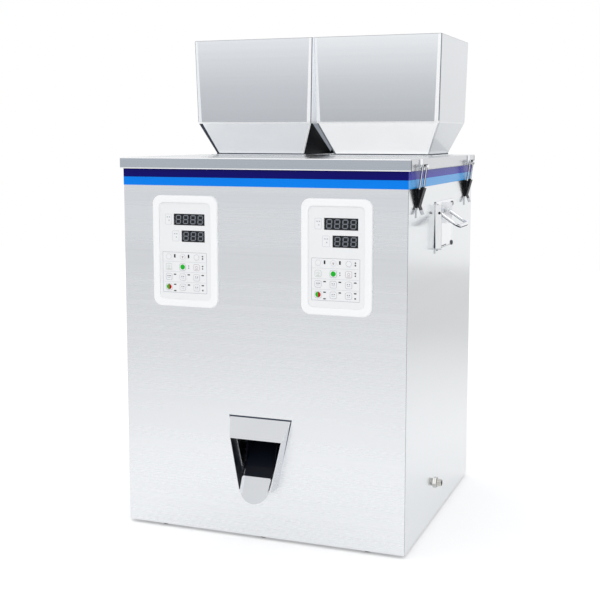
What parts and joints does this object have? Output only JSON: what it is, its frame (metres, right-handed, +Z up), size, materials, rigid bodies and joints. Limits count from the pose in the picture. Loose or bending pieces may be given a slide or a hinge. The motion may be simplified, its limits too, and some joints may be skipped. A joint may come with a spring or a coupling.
{
  "type": "granule filling machine",
  "caption": "Bench-top granule weighing and filling machine: stainless case with twin square hoppers, front control panels, a hooded discharge spout, side latches and handles.",
  "frame": {"origin": "centre of the overall bounding box, on the floor under the rubber feet", "axes": "+Z up, -Y out of the front with the spout, +X to the right seen from the front"},
  "size_m": [0.505, 0.4396, 0.735],
  "materials": {
    "brushed_front": "horizontally brushed stainless sheet",
    "brushed_side": "bright brushed stainless sheet",
    "hopper_steel": "brushed stainless sheet",
    "lid_steel": "brushed stainless sheet",
    "inner_steel": "plain stainless sheet",
    "polished_steel": "polished stainless",
    "screw_steel": "bright steel screws",
    "dark_steel": "dark plated steel",
    "navy_film": "navy film",
    "blue_film": "blue film",
    "white_abs": "white moulded plastic",
    "membrane": "printed keypad membrane",
    "display_grey": "grey display face",
    "circuit_board": "green board",
    "rubber_black": "black rubber",
    "seal_rubber": "pale silicone",
    "iron": "dark painted iron",
    "spring_steel": "spring steel",
    "cell_aluminium": "machined aluminium",
    "black_plastic": "black moulded plastic",
    "socket_metal": "nickel plated"
  },
  "bodies": {
    "case": {"front_panel": "brushed_front", "side_panel_left": "brushed_side", "side_panel_right": "brushed_side", "rear_panel": "brushed_side", "rear_panel_screws": "screw_steel", "base_tray": "inner_steel", "feet": "rubber_black", "navy_stripe": "navy_film", "blue_stripe": "blue_film", "spout_hood": "polished_steel", "discharge_trough": "brushed_front", "collecting_funnel": "inner_steel", "control_panel_left": "white_abs", "control_panel_right": "white_abs", "keypads": "membrane", "displays": "display_grey", "control_boards": "circuit_board", "handle_plates": "polished_steel", "handle_screws": "screw_steel", "latch_bases": "polished_steel", "feeder_shelf": "inner_steel", "rubber_mounts": "rubber_black", "feeder_bases": "iron", "feeder_magnets": "iron", "leaf_springs": "spring_steel", "weigh_bucket_left": "inner_steel", "weigh_bucket_right": "inner_steel", "load_cells": "cell_aluminium", "door_solenoids": "iron", "power_supply": "cell_aluminium", "power_inlet": "black_plastic", "switch_frame": "black_plastic", "pedal_socket": "socket_metal"},
    "lid": {"lid": "lid_steel", "lid_seal": "seal_rubber", "hopper_left": "hopper_steel", "hopper_right": "hopper_steel", "outlet_necks": "inner_steel", "latch_keepers": "polished_steel"},
    "handle_bail_left": {"handle_bail_left": "polished_steel"},
    "handle_bail_right": {"handle_bail_right": "polished_steel"},
    "latch_lever_front_left": {"latch_lever_front_left": "dark_steel"},
    "latch_bail_front_left": {"latch_bail_front_left": "polished_steel"},
    "latch_lever_front_right": {"latch_lever_front_right": "dark_steel"},
    "latch_bail_front_right": {"latch_bail_front_right": "polished_steel"},
    "latch_lever_rear_left": {"latch_lever_rear_left": "dark_steel"},
    "latch_bail_rear_left": {"latch_bail_rear_left": "polished_steel"},
    "latch_lever_rear_right": {"latch_lever_rear_right": "dark_steel"},
    "latch_bail_rear_right": {"latch_bail_rear_right": "polished_steel"},
    "feed_gate_left": {"feed_gate_left": "inner_steel"},
    "feeder_tray_left": {"feeder_tray_left": "inner_steel"},
    "bucket_door_left": {"bucket_door_left": "inner_steel"},
    "door_plunger_left": {"door_plunger_left": "iron"},
    "feed_gate_right": {"feed_gate_right": "inner_steel"},
    "feeder_tray_right": {"feeder_tray_right": "inner_steel"},
    "bucket_door_right": {"bucket_door_right": "inner_steel"},
    "door_plunger_right": {"door_plunger_right": "iron"},
    "switch_rocker": {"switch_rocker": "black_plastic"}
  },
  "joints": [
    {"name": "lid_lift", "type": "slide", "parent": "case", "child": "lid", "axis": [0, 0, 1], "range_m": [0, 0.3]},
    {"name": "handle_right_fold", "type": "hinge", "parent": "case", "child": "handle_bail_right", "pos_m": [0.2216, -0.00475, 0.47], "axis": [0, -1, 0], "range_deg": [-56, 34]},
    {"name": "latch_front_right_lever", "type": "hinge", "parent": "case", "child": "latch_lever_front_right", "pos_m": [0.2208, -0.14225, 0.5088], "axis": [0, -1, 0], "range_deg": [0, 110]},
    {"name": "latch_front_right_bail", "type": "hinge", "parent": "latch_lever_front_right", "child": "latch_bail_front_right", "pos_m": [0.2188, -0.14225, 0.499], "axis": [0, -1, 0], "range_deg": [-90, 0]},
    {"name": "latch_rear_right_lever", "type": "hinge", "parent": "case", "child": "latch_lever_rear_right", "pos_m": [0.2208, 0.16775, 0.5088], "axis": [0, -1, 0], "range_deg": [0, 110]},
    {"name": "latch_rear_right_bail", "type": "hinge", "parent": "latch_lever_rear_right", "child": "latch_bail_rear_right", "pos_m": [0.2188, 0.16775, 0.499], "axis": [0, -1, 0], "range_deg": [-90, 0]},
    {"name": "gate_right_lift", "type": "slide", "parent": "lid", "child": "feed_gate_right", "axis": [0, 0, 1], "range_m": [0, 0.01]},
    {"name": "tray_right_shake", "type": "slide", "parent": "case", "child": "feeder_tray_right", "axis": [0, -0.9397, 0.342], "range_m": [-0.0005, 0.0005], "stiffness_N_per_m": 60000, "deforming": ["leaf_springs"]},
    {"name": "door_right_swing", "type": "hinge", "parent": "case", "child": "bucket_door_right", "pos_m": [0.103, -0.12925, 0.447], "axis": [-1, 0, 0], "range_deg": [0, 45], "stiffness_Nm_per_rad": 0.04, "springref_deg": -57.3},
    {"name": "plunger_right_push", "type": "slide", "parent": "case", "child": "door_plunger_right", "axis": [0, -1, 0], "range_m": [0, 0.0161]},
    {"name": "handle_left_fold", "type": "hinge", "parent": "case", "child": "handle_bail_left", "pos_m": [-0.2216, -0.00475, 0.47], "axis": [0, 1, 0], "range_deg": [-56, 34]},
    {"name": "latch_front_left_lever", "type": "hinge", "parent": "case", "child": "latch_lever_front_left", "pos_m": [-0.2208, -0.14225, 0.5088], "axis": [0, 1, 0], "range_deg": [0, 110]},
    {"name": "latch_front_left_bail", "type": "hinge", "parent": "latch_lever_front_left", "child": "latch_bail_front_left", "pos_m": [-0.2188, -0.14225, 0.499], "axis": [0, 1, 0], "range_deg": [-90, 0]},
    {"name": "latch_rear_left_lever", "type": "hinge", "parent": "case", "child": "latch_lever_rear_left", "pos_m": [-0.2208, 0.16775, 0.5088], "axis": [0, 1, 0], "range_deg": [0, 110]},
    {"name": "latch_rear_left_bail", "type": "hinge", "parent": "latch_lever_rear_left", "child": "latch_bail_rear_left", "pos_m": [-0.2188, 0.16775, 0.499], "axis": [0, 1, 0], "range_deg": [-90, 0]},
    {"name": "gate_left_lift", "type": "slide", "parent": "lid", "child": "feed_gate_left", "axis": [0, 0, 1], "range_m": [0, 0.01]},
    {"name": "tray_left_shake", "type": "slide", "parent": "case", "child": "feeder_tray_left", "axis": [0, -0.9397, 0.342], "range_m": [-0.0005, 0.0005], "stiffness_N_per_m": 60000, "deforming": ["leaf_springs"]},
    {"name": "door_left_swing", "type": "hinge", "parent": "case", "child": "bucket_door_left", "pos_m": [-0.103, -0.12925, 0.447], "axis": [-1, 0, 0], "range_deg": [0, 45], "stiffness_Nm_per_rad": 0.04, "springref_deg": -57.3},
    {"name": "plunger_left_push", "type": "slide", "parent": "case", "child": "door_plunger_left", "axis": [0, -1, 0], "range_m": [0, 0.0161]},
    {"name": "switch_rock", "type": "hinge", "parent": "case", "child": "switch_rocker", "pos_m": [0.07, 0.20975, 0.064], "axis": [-1, 0, 0], "range_deg": [0, 16]}
  ],
  "couplings": [
    {"joint": "latch_front_right_bail", "follows": "latch_front_right_lever", "ratio": -0.816},
    {"joint": "latch_rear_right_bail", "follows": "latch_rear_right_lever", "ratio": -0.816},
    {"joint": "plunger_right_push", "follows": "door_right_swing", "m_per_rad": 0.020372},
    {"joint": "latch_front_left_bail", "follows": "latch_front_left_lever", "ratio": -0.816},
    {"joint": "latch_rear_left_bail", "follows": "latch_rear_left_lever", "ratio": -0.816},
    {"joint": "plunger_left_push", "follows": "door_left_swing", "m_per_rad": 0.020372}
  ]
}
